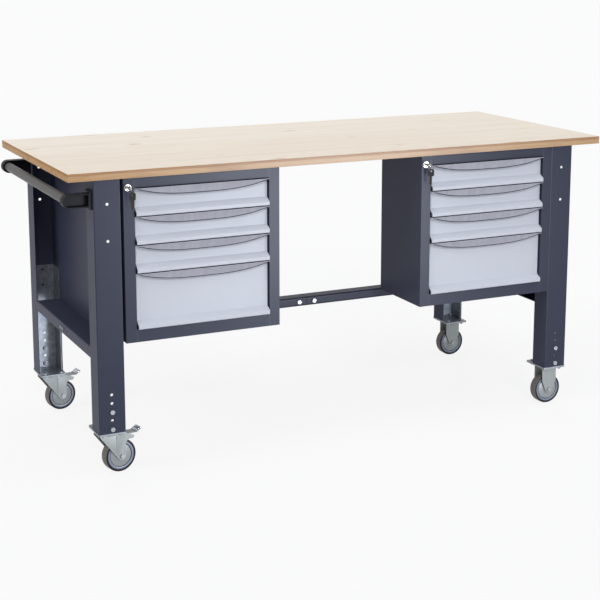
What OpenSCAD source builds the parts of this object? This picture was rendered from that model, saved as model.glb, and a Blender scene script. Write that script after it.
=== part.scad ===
// Mobile work table: a plywood top on four channel legs whose galvanised inner channels set the height,
// two hanging drawer cabinets, a push handle at the left end, two braked swivel casters at the left
// and two fixed casters at the right.
// X runs along the table to the right, Y from the front to the back, Z up from the floor.

/* [Worktop] */
// Length of the plywood top
top_l = 1800; // [1700:10:2000]
// Depth of the plywood top
top_w = 750; // [700:10:900]
// Thickness of the plywood top
top_t = 24; // [18:1:40]
// Height of the working surface above the floor
top_h = 910; // [880:5:960]

/* [Legs] */
// Width of an outer leg channel, along the table
leg_w = 80; // [76:1:90]
// Depth of an outer leg channel
leg_d = 70; // [66:1:90]
// Sheet thickness of both leg channels
leg_t = 2; // [1.5:0.25:2.5]
// Outside bend radius of the leg channels
leg_bend = 3; // [3:0.5:5]
// Overhang of the top beyond the legs, front and back
front_over = 10; // [5:1:30]
// Overhang of the top beyond the left legs
left_over = 75; // [60:1:80]
// Overhang of the top beyond the right legs
right_over = 100; // [60:1:120]
// Length of the galvanised inner channel above its foot plate
inner_h = 351; // [300:1:400]
// Pitch of the height setting holes
set_pitch = 26; // [24:1:30]
// Width of the foot plate and the caster plate, along the table
foot_w = 84; // [80:1:100]
// Length of the foot plate and the caster plate, front to back
foot_l = 104; // [100:1:120]
// Thickness of the foot plate
foot_t = 3; // [2:0.5:5]

/* [Side frames and beam] */
// Height of a lower side rail
rail_h = 35; // [30:1:45]
// Sheet thickness of a side rail
rail_t = 2.5; // [2:0.25:3]
// Height of the side rails' underside above the floor
rail_z = 350; // [320:5:360]
// Front to back size of the centre beam
beam_d = 50; // [44:1:60]
// Sheet thickness of the beam and its splice
beam_t = 2; // [1.5:0.25:2.5]
// Sheet thickness of a side panel
panel_t = 2; // [1:0.25:2]

/* [Cabinets] */
// Width of a cabinet
cab_w = 485; // [460:5:520]
// Height of a cabinet
cab_h = 484; // [460:2:495]
// Depth of a cabinet
cab_d = 260; // [250:5:300]
// Sheet thickness of a cabinet
cab_t = 1.5; // [1:0.25:2]
// Clear gap between the left leg and the left cabinet
cab_gap = 8; // [4:1:15]
// Width of the front frame's stiles
stile_w = 33; // [32:1:40]
// Height of the front frame's top rail
head_rail_h = 30; // [28:1:36]
// Height of the front frame's bottom rail
sill_rail_h = 38; // [30:1:45]

/* [Drawers] */
// How far the drawer lips stand out of the front frame
lip_reach = 10; // [6:1:14]
// How far the drawer panels lie behind the front frame
recess = 10; // [6:1:14]
// Sheet thickness of a drawer front
front_t = 2; // [1.5:0.25:2.5]
// Depth of the crescent grip at its middle
grip_sag = 23; // [18:1:26]
// Length of a drawer tray, front to back
tray_l = 228; // [215:1:232]
// Sheet thickness of a drawer tray
tray_t = 1.5; // [1:0.25:2]

/* [Push handle] */
// Radius of the handle tube
tube_r = 14; // [12:0.5:15]
// Wall of the handle tube
tube_t = 2; // [1.5:0.25:3]
// Radius of the arms' noses
nose_r = 20; // [19:0.5:24]
// Reach of the arms out of the left legs
arm_reach = 86; // [82:1:100]
// Drop of the tube's axis below the top's underside
tube_drop = 58; // [45:1:80]

/* [Casters] */
// Radius of the wheels
wheel_r = 50; // [48:1:51]
// Width of the tyres
tyre_w = 32; // [28:1:34]
// Radius where the tyre sits on the wheel's core
core_r = 39; // [37:0.5:41]
// Height of a caster from the floor to its plate's top
caster_h = 134; // [132:1:140]
// Distance from a swivel's axis to its wheel's axle
trail = 35; // [30:1:38]
// Angle at which the swivel casters stand, turned about the vertical
swivel_turn = 10; // [0:1:30]
// Radius of a wheel axle
axle_r = 4; // [3:0.5:5]

/* [Locks] */
// Radius of the turning lock plug
plug_r = 6; // [5:0.25:6.5]
// Reach of a key's bow out of the front frame
key_reach = 30; // [28:1:36]

/* [Hidden] */
$fn = 48;
// Overrun of every cut
over = 1;
// Radial running clearance of pins, plugs and axles
run_fit = 0.05;
// Gap between faces that slide past each other
slide_gap = 0.3;
// Steps along the curve under a drawer's grip
grip_steps = 32;
// Sides of hexagon heads and nuts
hex_sides = 6;

// Levels and leg places that the sizes above settle
under_z = top_h - top_t;
leg_z = caster_h + foot_t;
leg_y = top_w / 2 - front_over - leg_d / 2;
caster_y = leg_y + leg_d / 2 - foot_l / 2;
frame_y = leg_y + leg_d / 2;
function leg_x(s) = s < 0 ? -top_l / 2 + left_over + leg_w / 2 : top_l / 2 - right_over - leg_w / 2;
// The object's box is centred on the origin: the handle reaches past the left edge, the keys past the front
nose_past = max(arm_reach - left_over, 0);
key_past = max(key_reach - front_over, 0);
shift = [nose_past / 2, key_past / 2, 0];

// Holes and fasteners of the legs
set_first = 13;
set_rows = 5;
set_bolts = [0, 2];
hole_r = 4.5;
rack_drop = 71;
rack_pitch = 107;
inner_hole_drop = 16;
inner_chamfer = 8;
slit_r = 2;
slit_z = 494;
slit_pitch = 23;
slit_in = 14;
cap_t = 3;
bolt_r = 4;
bolt_head_r = 7.5;
bolt_head_h = 5;
nut_h = 6;
bolt_tip = 4;
foot_corner_r = 4;
foot_bolt_x = 54;
foot_bolt_y = 80;
foot_bolt_r = 3;
foot_head_r = 5.7;
foot_head_h = 4;
foot_nut_h = 5;
foot_fit = 0.3;
inner_fit = 0.25;

// Side rails, side panels and beam
rail_bend = 4;
rail_hole_y = 52;
beam_screw_y = 11;
beam_screw_r = 3;
screw_head_r = 5.5;
screw_head_h = 3;
beam_h = rail_h - 2 * rail_t;
beam_z = rail_z + rail_h / 2;
beam_bend = 6;
beam_end_t = rail_bend + beam_t;
beam_seam = 1;
splice_l = 200;
beam_bolt_x = 27;
beam_hole_x = 45;
beam_hole_y = 10;
beam_hole_r = 3;
panel_flange = 25;
panel_play = 2;

// Wood screws that hold the legs and the cabinets to the top
wood_r = 2.5;
wood_fit = 0.1;
wood_depth = 16;
cab_screw_in = 30;

// Cabinets
cab_z = under_z - cab_h;
frame_return = 12;
open_w = cab_w - 2 * stile_w;
open_h = cab_h - head_rail_h - sill_rail_h;
function cab_x(s) = s < 0 ? leg_x(s) + leg_w / 2 + cab_gap + cab_w / 2 : leg_x(s) - leg_w / 2 - cab_w / 2;

// Drawers, from the top one down, each as a count of front units
units = [1, 1, 1, 2];
unit_h = open_h / (units[0] + units_below(0));
front_gap = 2.4;
front_side = 3;
front_w = open_w - 2 * front_side;
lip_h = 11;
flare_h = 11;
hem_t = 4;
hem_r = 1.9;
flap_t = 2.5;
flap_in = 6;
flap_tilt = 14;
grip_power = 3;
tray_side = 16;
tray_w = open_w - 2 * tray_side;
tray_low = 10;
tray_head = 12;
tray_y = recess + front_t;
slider_w = 10;
runner_w = 13;
runner_h = 18;
runner_t = 1.5;
runner_up = 28;
runner_start = 6;
runner_low = 12;
runner_side = 1.5;
slider_in = 4;
function units_below(k) = k >= len(units) - 1 ? 0 : units[k + 1] + units_below(k + 1);
function front_z(k) = sill_rail_h + unit_h * units_below(k) + front_gap / 2;
function front_h(k) = units[k] * unit_h - front_gap;

// Locks and keys
lock_in = 14;
lock_drop = 28;
lock_case_r = 9;
lock_flange_r = 10.5;
lock_flange_t = 2;
lock_l = 18;
key_t = 2;
bow_r = 9;
bow_hole_r = 2.8;
bow_y = key_reach - bow_r;
neck_h = 8;
ring_r = 9;
wire_r = 0.8;
ring_lean = 45;
spare_t = 3;
spare_w = 20;
spare_h = 22;
spare_corner_r = 5;
spare_hole_r = 3.8;
spare_hole_in = 6;
spare_drop = 2.3;
blade_w = 7;
blade_l = 26;
blade_t = 1.8;
spare_turn = 45;

// Push handle
arm_w = 28;
arm_in = 8;
arm_wall = 4;
arm_pocket = 14;
socket_l = 12;
base_t = 8;
base_w = 44;
base_h = 54;
base_screw_in = 36;
base_screw_z = 16;
tube_fit = 0.1;
tube_x = leg_x(-1) - leg_w / 2 - arm_reach + nose_r;
tube_z = under_z - tube_drop;

// Casters
plate_t = 3;
fork_gap = 21;
fork_t = 2.5;
eye_r = 13;
axle_fit = 0.1;
axle_head_r = 7.5;
axle_head_h = 5;
hub_play = 0.5;
hub_r = 11;
rim_in_r = 33;
guard_r = 31.5;
groove_h = 3;
rim_w = 28;
guard_w = 26;
tread_r = 5;
fixed_w = 54;
fixed_taper_z = 82;
slot_w = 22;
slot_h = 4;
slot_drop = 8;
race_r = 28;
race_h = 6;
crown_r = 31;
crown_t = 3;
crown_top = caster_h - plate_t - race_h - slide_gap;
kingpin_r = 6;
kingpin_head_r = 9;
kingpin_head_h = 3;
disc_dip = 0.4;
fork_bend = 5;
fork_back = 34;
crown_front = 44;
fork_front = 77;
skirt_h = 7;
ear_drop = 18;
ear_h = 8;
ear_cut = 5;
throat_r = 14;
throat_bite = 0.5;
crease_x = 17;
crease_r = 1.5;
crease_rise = 0.7;
pedal_ahead = 15;
pedal_under = 11.7;
pedal_x = trail + pedal_ahead;
pedal_z = crown_top - pedal_under;
pedal_pin_r = 3;
pedal_eye_r = 5.5;
pedal_w = 34;
pedal_arm_w = 30;
pedal_t = 3;
pedal_foot_l = 20;
pedal_tilt = 33;
pedal_run = 37;
pedal_dip = 1;
pedal_toe = [pedal_x + pedal_run, pedal_z - pedal_dip];
pedal_tip = pedal_toe + pedal_foot_l * [cos(pedal_tilt), sin(pedal_tilt)];
shoe_gap = 2.35;
shoe_angle = 68.2;
shoe_tip = [trail, wheel_r] + (wheel_r + pedal_t / 2 + shoe_gap) * [cos(shoe_angle), sin(shoe_angle)];

paint = [0.27, 0.29, 0.35];
zinc = [0.72, 0.74, 0.76];
front_grey = [0.82, 0.84, 0.88];
ply = [0.90, 0.83, 0.72];
plastic_black = [0.10, 0.10, 0.11];

// Profiles and small shapes

// Outline with two rounded corners at its -Y side
module bent_outline(w, d, r) {
    translate([-w / 2, -d / 2 + r]) square([w, d - r]);
    translate([-w / 2 + r, -d / 2]) square([w - 2 * r, 2 * r]);
    for (s = [-1, 1]) translate([s * (w / 2 - r), -d / 2 + r]) circle(r);
}

// Folded channel section, web at -Y and open at +Y
module channel_section(w, d, t, r) {
    difference() {
        bent_outline(w, d, r);
        translate([0, t]) bent_outline(w - 2 * t, d, r - t / 2);
    }
}

module round_rect(w, d, r) {
    square([w - 2 * r, d], center = true);
    square([w, d - 2 * r], center = true);
    for (x = [-1, 1], y = [-1, 1]) translate([x * (w / 2 - r), y * (d / 2 - r)]) circle(r);
}

// Turns a drawing in X and Y to Z and X, with its extrusion along +Y
module along_y() rotate([0, -90, -90]) children();

// Turns a drawing in X and Y to Y and Z, with its extrusion along +X
module along_x() rotate([90, 0, 90]) children();

// Turns a drawing in X and Y to X and Z, extruded from y = 0 towards +Y
module facing_front(t) translate([0, t, 0]) rotate([90, 0, 0]) linear_extrude(t) children();

// Cylinder along +Y from y = 0
module rod_y(r, l) rotate([-90, 0, 0]) cylinder(r = r, h = l);

module hex_y(r, l) rotate([-90, 0, 0]) cylinder(r = r, h = l, $fn = hex_sides);

// Hexagon bolt along +Y whose head sits outside y = 0, with a nut behind the grip
module hex_bolt(r, grip, head_r, head_h, nut) {
    translate([0, -head_h, 0]) hex_y(head_r, head_h);
    rod_y(r, grip + nut + bolt_tip);
    translate([0, grip, 0]) hex_y(head_r, nut);
}

// Point where a line from p touches the circle round c, on the side that turn gives
function touch_point(p, c, r, turn) =
    let (d = p - c, a = atan2(d[1], d[0]) + turn * acos(r / norm(d))) c + r * [cos(a), sin(a)];

module placed() translate(shift) children();

// Puts a leg's own drawing, web outwards at -Y, under a corner of the top
module at_leg(s, e) translate([leg_x(s), e * leg_y, 0]) rotate([0, 0, e > 0 ? 180 : 0]) children();

module at_caster(s, e) translate([leg_x(s), e * caster_y, 0]) children();

module at_swivel(e) at_caster(-1, e) rotate([0, 0, swivel_turn]) children();

module at_cabinet(s) translate([cab_x(s), -frame_y, cab_z]) children();

module at_lock(s) at_cabinet(s) translate([-cab_w / 2 + lock_in, 0, cab_h - lock_drop]) children();

// Worktop

module worktop() color(ply) placed() difference() {
    translate([-top_l / 2, -top_w / 2, under_z]) cube([top_l, top_w, top_t]);
    for (s = [-1, 1], e = [-1, 1]) translate([leg_x(s), e * leg_y, under_z - over]) pilot_hole();
    for (s = [-1, 1]) at_cabinet(s) cabinet_screw_places() translate([0, 0, cab_h - over]) pilot_hole();
}

module pilot_hole() cylinder(r = wood_r + wood_fit, h = wood_depth + 2 * over);

module cabinet_screw_places()
    for (x = [-1, 1], y = [cab_screw_in, cab_d - cab_screw_in])
        translate([x * (cab_w / 2 - cab_screw_in), y, 0]) children();

// Wood screw whose head sits under z = 0
module wood_screw(grip) {
    translate([0, 0, -screw_head_h]) cylinder(r = screw_head_r, h = screw_head_h);
    cylinder(r = wood_r, h = grip + wood_depth);
}

// Legs

module web_holes(levels, d) {
    for (z = levels) translate([0, -d / 2 - over, z]) rod_y(hole_r, 2 * leg_t + 2 * over);
}

function set_levels() = [for (k = [0 : set_rows - 1]) leg_z + set_first + k * set_pitch];

module leg_outer(s, e) color(paint) placed() at_leg(s, e) difference() {
    union() {
        translate([0, 0, leg_z]) linear_extrude(under_z - leg_z)
            channel_section(leg_w, leg_d, leg_t, leg_bend);
        translate([0, leg_t / 2, under_z - cap_t])
            linear_extrude(cap_t) square([leg_w - 2 * leg_t, leg_d - leg_t], center = true);
    }
    web_holes(set_levels(), leg_d);
    web_holes([under_z - rack_drop, under_z - rack_drop - rack_pitch], leg_d);
    for (z = [slit_z, slit_z + slit_pitch])
        translate([-leg_w / 2 - over, leg_d / 2 - slit_in, z]) along_x()
            linear_extrude(leg_w + 2 * over) circle(slit_r);
    translate([0, 0, under_z - cap_t - over]) cylinder(r = wood_r + wood_fit, h = cap_t + 2 * over);
    if (s < 0) at_arm_screws(e) translate([-over, 0, 0])
        rotate([0, 90, 0]) cylinder(r = beam_screw_r + foot_fit, h = leg_t + 2 * over);
}

// Places of the handle's screws on the left flange, in the leg's own drawing
module at_arm_screws(e) {
    inward = -leg_d / 2 + base_screw_in;
    x = e < 0 ? -leg_w / 2 : leg_w / 2 - leg_t;
    for (z = [-1, 1]) translate([x, inward, tube_z + z * base_screw_z]) children();
}

module leg_inner(s, e) color(zinc) placed() at_leg(s, e) {
    w = leg_w - 2 * leg_t - 2 * inner_fit;
    d = leg_d - 2 * leg_t;
    top = leg_z + inner_h;
    difference() {
        translate([0, leg_t - (leg_d - d) / 2, leg_z])
            linear_extrude(inner_h) channel_section(w, d, leg_t, leg_bend);
        translate([0, leg_t, 0]) {
            web_holes(set_levels(), leg_d);
            web_holes([top - inner_hole_drop, top - inner_hole_drop - 2 * set_pitch], leg_d);
        }
        translate([0, d / 2, top]) rotate([45, 0, 0])
            cube([leg_w, inner_chamfer, inner_chamfer], center = true);
    }
    foot_plate();
}

module foot_plate() translate([0, -leg_d / 2 + foot_l / 2, caster_h]) linear_extrude(foot_t) plate_section();

// Plate outline with its four bolt holes, drawn round the caster's axis
module plate_section() difference() {
    round_rect(foot_w, foot_l, foot_corner_r);
    foot_bolt_places() circle(foot_bolt_r + foot_fit);
}

module foot_bolt_places()
    for (x = [-1, 1], y = [-1, 1]) translate([x * foot_bolt_x / 2, y * foot_bolt_y / 2]) children();

// Side frames

module side_rail(s) color(paint) placed() translate([leg_x(s), 0, rail_z + rail_h / 2])
    mirror([s > 0 ? 1 : 0, 0, 0]) difference() {
        l = 2 * (leg_y - leg_d / 2);
        translate([0, -l / 2, 0]) along_y() linear_extrude(l)
            channel_section(rail_h, leg_w, rail_t, rail_bend);
        translate([-leg_w / 2 - over, -rail_hole_y, 0]) along_x()
            linear_extrude(rail_t + 2 * over) circle(hole_r);
        for (y = [-1, 1]) translate([-leg_w / 2 - over, y * beam_screw_y, 0]) along_x()
            linear_extrude(rail_t + 2 * over) circle(beam_screw_r + foot_fit);
    }

module side_panel(s) color(paint) placed() {
    half = leg_y - leg_d / 2;
    face = leg_x(s) - s * leg_w / 2;
    low = rail_z + rail_h;
    translate([s < 0 ? face - panel_t : face, -half, low]) cube([panel_t, 2 * half, under_z - low]);
    translate([s < 0 ? face - panel_flange : face, -half + panel_play, under_z - panel_t])
        cube([panel_flange, 2 * (half - panel_play), panel_t]);
}

// Centre beam

module beam_section(fit) difference() {
    round_rect(beam_d - 2 * fit, beam_h - 2 * fit, beam_bend - fit);
    round_rect(beam_d - 2 * fit - 2 * beam_t, beam_h - 2 * fit - 2 * beam_t, beam_bend - fit - beam_t);
}

module beam_half(s) color(paint) placed() translate([0, 0, beam_z]) mirror([s < 0 ? 1 : 0, 0, 0]) {
    far = abs(leg_x(s)) + leg_w / 2 - rail_t;
    difference() {
        translate([beam_seam / 2, 0, 0]) along_x()
            linear_extrude(far - rail_bend - beam_seam / 2) beam_section(0);
        translate([beam_bolt_x, -beam_d / 2 - over, 0]) rod_y(hole_r, beam_t + 2 * over);
        translate([beam_hole_x, beam_hole_y, 0]) cylinder(r = beam_hole_r, h = beam_h);
    }
    translate([far - beam_end_t, 0, 0]) difference() {
        along_x() linear_extrude(beam_end_t)
            square([beam_d - beam_t, beam_h - 2 * rail_bend], center = true);
        for (y = [-1, 1]) translate([-over, y * beam_screw_y, 0]) along_x()
            linear_extrude(beam_end_t + 2 * over) circle(beam_screw_r + foot_fit);
    }
}

module beam_splice() color(paint) placed() translate([-splice_l / 2, 0, beam_z]) difference() {
    along_x() linear_extrude(splice_l) beam_section(beam_t + inner_fit);
    for (x = [-1, 1]) translate([splice_l / 2 + x * beam_bolt_x, -beam_d / 2, 0])
        rod_y(hole_r, 3 * beam_t);
}

// Fasteners of the frame

module frame_bolts() color(zinc) placed() {
    for (s = [-1, 1], e = [-1, 1]) at_leg(s, e) {
        for (k = set_bolts) translate([0, -leg_d / 2, leg_z + set_first + k * set_pitch])
            hex_bolt(bolt_r, 2 * leg_t, bolt_head_r, bolt_head_h, nut_h);
        translate([0, 0, under_z - cap_t]) wood_screw(cap_t);
        if (s < 0) at_arm_screws(e) arm_screw(e);
    }
    for (s = [-1, 1]) {
        at_cabinet(s) cabinet_screw_places() translate([0, 0, cab_h - cab_t]) wood_screw(cab_t);
        translate([leg_x(s), 0, beam_z]) mirror([s > 0 ? 1 : 0, 0, 0])
            for (y = [-1, 1]) translate([-leg_w / 2, y * beam_screw_y, 0]) rotate([0, 0, -90])
                hex_bolt(beam_screw_r, rail_t + beam_end_t, screw_head_r, screw_head_h, nut_h);
        translate([s * beam_bolt_x, -beam_d / 2, beam_z])
            hex_bolt(bolt_r, 2 * beam_t + inner_fit, bolt_head_r, bolt_head_h, nut_h);
    }
}

// Screw from the inside of the left flange into the handle's base
module arm_screw(e) {
    inner_x = e < 0 ? leg_t : 0;
    translate([inner_x, 0, 0]) mirror([e < 0 ? 0 : 1, 0, 0]) {
        rotate([0, 90, 0]) cylinder(r = screw_head_r, h = screw_head_h);
        rotate([0, -90, 0]) cylinder(r = beam_screw_r, h = leg_t + base_t - arm_wall / 2);
    }
}

module caster_bolts() color(zinc) placed() for (s = [-1, 1], e = [-1, 1]) at_caster(s, e)
    foot_bolt_places() {
        bottom = caster_h - plate_t;
        translate([0, 0, leg_z]) cylinder(r = foot_head_r, h = foot_head_h, $fn = hex_sides);
        translate([0, 0, bottom - foot_nut_h])
            cylinder(r = foot_head_r, h = foot_nut_h, $fn = hex_sides);
        translate([0, 0, bottom - foot_nut_h]) cylinder(r = foot_bolt_r, h = leg_z - bottom + foot_nut_h);
    }

// Cabinets

module cabinet(s) color(paint) placed() at_cabinet(s) {
    difference() {
        translate([-cab_w / 2, 0, 0]) cube([cab_w, cab_d, cab_h]);
        translate([-cab_w / 2 + cab_t, cab_t, cab_t])
            cube([cab_w - 2 * cab_t, cab_d - 2 * cab_t, cab_h - 2 * cab_t]);
        translate([-open_w / 2, -over, sill_rail_h]) cube([open_w, cab_t + 2 * over, open_h]);
        cabinet_screw_places() translate([0, 0, cab_h - cab_t - over])
            cylinder(r = wood_r + wood_fit, h = cab_t + 2 * over);
        lock_place() translate([0, -over, 0]) rod_y(plug_r + run_fit, cab_t + 2 * over);
    }
    difference() {
        translate([-open_w / 2 - cab_t, 0, sill_rail_h - cab_t])
            cube([open_w + 2 * cab_t, frame_return, open_h + 2 * cab_t]);
        translate([-open_w / 2, -over, sill_rail_h]) cube([open_w, frame_return + 2 * over, open_h]);
    }
    lock_place() difference() {
        union() {
            rod_y(lock_case_r, lock_l);
            translate([0, -lock_flange_t, 0]) rod_y(lock_flange_r, lock_flange_t);
        }
        translate([0, -lock_flange_t - over, 0]) rod_y(plug_r + run_fit, lock_l + lock_flange_t + 2 * over);
    }
}

module lock_place() translate([-cab_w / 2 + lock_in, 0, cab_h - lock_drop]) children();

// Runner section for the right side wall, from z = 0 up, with x measured from the cabinet's middle
module runner_section() {
    wall = cab_w / 2 - cab_t;
    near = tray_w / 2 + runner_side;
    far = tray_w / 2 + runner_w;
    translate([near, 0]) square([wall - near, runner_t]);
    translate([far - runner_t, 0]) square([runner_t, runner_h]);
    translate([near, runner_h - runner_t]) square([far - near, runner_t]);
    translate([wall - runner_t, 0]) square([runner_t, runner_up]);
}

module drawer_runners() color(zinc) placed() for (s = [-1, 1]) at_cabinet(s)
    for (k = [0 : len(units) - 1], m = [0, 1]) mirror([m, 0, 0])
        translate([0, tray_y + runner_start, front_z(k) + tray_low + runner_low])
            facing_front(tray_l - 2 * runner_start) runner_section();

// Drawers

module drawer_tray(s, k) color(front_grey) placed() at_cabinet(s)
    translate([0, tray_y, front_z(k) + tray_low]) {
        h = front_h(k) - tray_low - tray_head;
        difference() {
            translate([-tray_w / 2, 0, 0]) cube([tray_w, tray_l, h]);
            translate([-tray_w / 2 + tray_t, tray_t, tray_t])
                cube([tray_w - 2 * tray_t, tray_l - 2 * tray_t, h]);
        }
        for (m = [0, 1]) mirror([m, 0, 0])
            translate([tray_w / 2, runner_start + slider_in, runner_low + runner_t + slide_gap])
                cube([slider_w, tray_l - 2 * (runner_start + slider_in),
                    runner_h - 2 * (runner_t + slide_gap)]);
    }

// Section of a drawer front of height h, drawn with X as the depth and Y as the height
module front_section(h) {
    slope_top = lip_h + flare_h;
    translate([-lip_reach, h - front_t]) square([lip_reach + recess + front_t, front_t]);
    translate([recess, slope_top]) square([front_t, h - slope_top]);
    polygon([[-lip_reach, lip_h - hem_r], [-lip_reach + hem_t, lip_h - hem_r],
        [recess + front_t, slope_top], [recess, slope_top + front_t], [-lip_reach, lip_h]]);
    translate([-lip_reach + hem_t / 2, lip_h / 2]) round_rect(hem_t, lip_h, hem_r);
}

// Smile that hangs from y = 0, as wide as w: flat in the middle, quickly rounded at both ends
module crescent(w, sag) polygon([for (k = [0 : grip_steps])
    let (share = 2 * k / grip_steps - 1) [share * w / 2, -sag * (1 - pow(abs(share), grip_power))]]);

module drawer_front(s, k) color(front_grey) placed() at_cabinet(s) translate([0, 0, front_z(k)]) {
    h = front_h(k);
    translate([-front_w / 2, 0, 0]) along_x() linear_extrude(front_w) front_section(h);
    translate([0, -lip_reach, h - front_t / 2]) rotate([flap_tilt, 0, 0])
        facing_front(flap_t) crescent(front_w - 2 * flap_in, grip_sag);
}

// Locks and keys, drawn round the lock's axis with y = 0 at the front frame

module lock_key(s) color(zinc) placed() at_lock(s) {
    translate([0, -lock_flange_t, 0]) rod_y(plug_r, lock_l + lock_flange_t);
    translate([-key_t / 2, 0, 0]) along_x() linear_extrude(key_t) difference() {
        union() {
            translate([-bow_y, 0]) circle(bow_r);
            translate([-bow_y, -neck_h / 2]) square([bow_y, neck_h]);
        }
        translate([-bow_y, 0]) circle(bow_hole_r);
    }
}

module spare_key(s) color(plastic_black) placed() at_lock(s) {
    ring_at = ring_r * [cos(ring_lean), -sin(ring_lean)];
    translate([ring_at[0], -bow_y, ring_at[1]]) {
        rotate([90, 0, 0]) rotate_extrude() translate([ring_r, 0]) circle(wire_r, $fn = 24);
        translate([0, 0, -ring_r - spare_drop]) rotate([0, 0, -spare_turn])
            translate([0, -spare_t / 2, 0]) spare_body();
    }
}

module spare_body() {
    low = spare_h - spare_hole_in;
    facing_front(spare_t) difference() {
        translate([0, spare_hole_in - spare_h / 2]) round_rect(spare_w, spare_h, spare_corner_r);
        circle(spare_hole_r);
    }
    translate([-blade_w / 2, (spare_t - blade_t) / 2, -low - blade_l])
        cube([blade_w, blade_t, blade_l + spare_t]);
}

// Push handle

module handle_arm(e) color(plastic_black) placed() mirror([0, e > 0 ? 1 : 0, 0]) {
    wall_x = leg_x(-1) - leg_w / 2;
    l = wall_x - base_t - tube_x;
    translate([0, -frame_y + arm_in, 0]) difference() {
        union() {
            facing_front(arm_w) translate([tube_x, tube_z]) {
                circle(nose_r);
                translate([0, -nose_r]) square([l + base_t, 2 * nose_r]);
            }
            translate([wall_x - base_t, 0, tube_z - base_h / 2]) cube([base_t, base_w, base_h]);
        }
        translate([0, -over, 0]) facing_front(arm_pocket + over) translate([tube_x, tube_z]) {
            circle(nose_r - arm_wall);
            translate([0, -nose_r + arm_wall]) square([l - arm_wall, 2 * (nose_r - arm_wall)]);
        }
        translate([tube_x, arm_w - socket_l, tube_z]) rod_y(tube_r + tube_fit, socket_l + over);
        for (z = [-1, 1]) translate([wall_x + over, base_screw_in - arm_in, tube_z + z * base_screw_z])
            rotate([0, -90, 0]) cylinder(r = beam_screw_r + run_fit, h = base_t + over - arm_wall / 2);
    }
}

module handle_tube() color([0.24, 0.24, 0.25]) placed() {
    half = frame_y - arm_in - arm_w + socket_l;
    translate([tube_x, -half, tube_z]) difference() {
        rod_y(tube_r, 2 * half);
        translate([0, -over, 0]) rod_y(tube_r - tube_t, 2 * (half + over));
    }
}

// Casters, drawn round the plate's axis with z = 0 at the floor

module swivel_plate(e) color(zinc) placed() {
    at_caster(-1, e) translate([0, 0, caster_h - plate_t]) linear_extrude(plate_t) plate_section();
    at_swivel(e) {
        translate([0, 0, crown_top + slide_gap]) cylinder(r = race_r, h = race_h);
        translate([0, 0, crown_top - crown_t - slide_gap]) cylinder(r = kingpin_r, h = crown_t + race_h);
        translate([0, 0, crown_top - crown_t - slide_gap - kingpin_head_h])
            cylinder(r = kingpin_head_r, h = kingpin_head_h);
    }
}

// Side view of a swivel fork, drawn in X and Z: crown, ear beside the pedal, throat, eye and slanted back
module swivel_side() {
    axle = [trail, wheel_r];
    corner = [-fork_back, crown_top - skirt_h];
    ear_z = crown_top - ear_drop;
    stem_x = trail + eye_r;
    difference() {
        union() {
            polygon([[-fork_back, crown_top + over], [crown_front, crown_top + over],
                [crown_front, crown_top - crown_t], [fork_front, ear_z],
                [fork_front - ear_cut, ear_z - ear_h], [stem_x + throat_r, ear_z - ear_h],
                [stem_x, ear_z - ear_h - throat_r], [stem_x, wheel_r], axle,
                touch_point(corner, axle, eye_r, 1), corner]);
            translate(axle) circle(eye_r);
        }
        translate(axle) circle(axle_r + axle_fit);
        translate([stem_x + throat_r - throat_bite, ear_z - ear_h - throat_r + throat_bite]) circle(throat_r);
    }
}

// Folded fork of sheet: the crown's bends run along X, and the side view trims both cheeks at once
module swivel_sheet() intersection() {
    reach = fork_gap + fork_t;
    low = wheel_r - eye_r - over;
    translate([-fork_back, 0, (crown_top + low) / 2]) along_x() linear_extrude(fork_back + fork_front)
        rotate(180) channel_section(2 * reach, crown_top - low, fork_t, fork_bend);
    translate([0, -reach - over, 0]) facing_front(2 * (reach + over)) swivel_side();
}

module cheek_pair() for (m = [0, 1]) mirror([0, m, 0])
    translate([0, fork_gap, 0]) facing_front(fork_t) children();

// Axle bolt with its head and nut outside the cheeks
module axle_bolt() {
    reach = fork_gap + fork_t;
    translate([0, -reach - axle_head_h, 0]) hex_y(axle_head_r, axle_head_h);
    translate([0, -reach, 0]) rod_y(axle_r, 2 * reach);
    translate([0, reach, 0]) hex_y(axle_head_r, axle_head_h);
}

module swivel_fork(e) color(zinc) placed() at_swivel(e) {
    reach = fork_gap + fork_t;
    crease_low = wheel_r + eye_r;
    difference() {
        union() {
            swivel_sheet();
            translate([0, 0, crown_top - crown_t]) cylinder(r = crown_r, h = crown_t - disc_dip);
            for (m = [-1, 1]) translate([crease_x, m * (reach + crease_rise - crease_r), crease_low])
                cylinder(r = crease_r, h = crown_top - crown_t - fork_bend - crease_low);
            translate([pedal_x, -fork_gap - over, pedal_z]) rod_y(pedal_pin_r, 2 * (fork_gap + over));
        }
        translate([0, 0, crown_top - crown_t - over])
            cylinder(r = kingpin_r + run_fit, h = crown_t + 2 * over);
    }
    translate([trail, 0, wheel_r]) axle_bolt();
}

// Corner of a strip of sheet t thick, on one side of its middle line: p's neighbours give the mitre
function strip_corner(path, k, t, side) =
    let (a = path[max(k - 1, 0)], b = path[min(k + 1, len(path) - 1)], p = path[k],
        u = k > 0 ? (p - a) / norm(p - a) : (b - p) / norm(b - p),
        v = k < len(path) - 1 ? (b - p) / norm(b - p) : u,
        n = [-u[1], u[0]], m = [-v[1], v[0]])
    p + side * t / 2 * (n + m) / (1 + n * m);

// Section of a folded strip of sheet along a path
module strip(path, t) {
    last = len(path) - 1;
    polygon([for (k = [0 : last]) strip_corner(path, k, t, 1),
        for (k = [0 : last]) strip_corner(path, last - k, t, -1)]);
}

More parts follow.
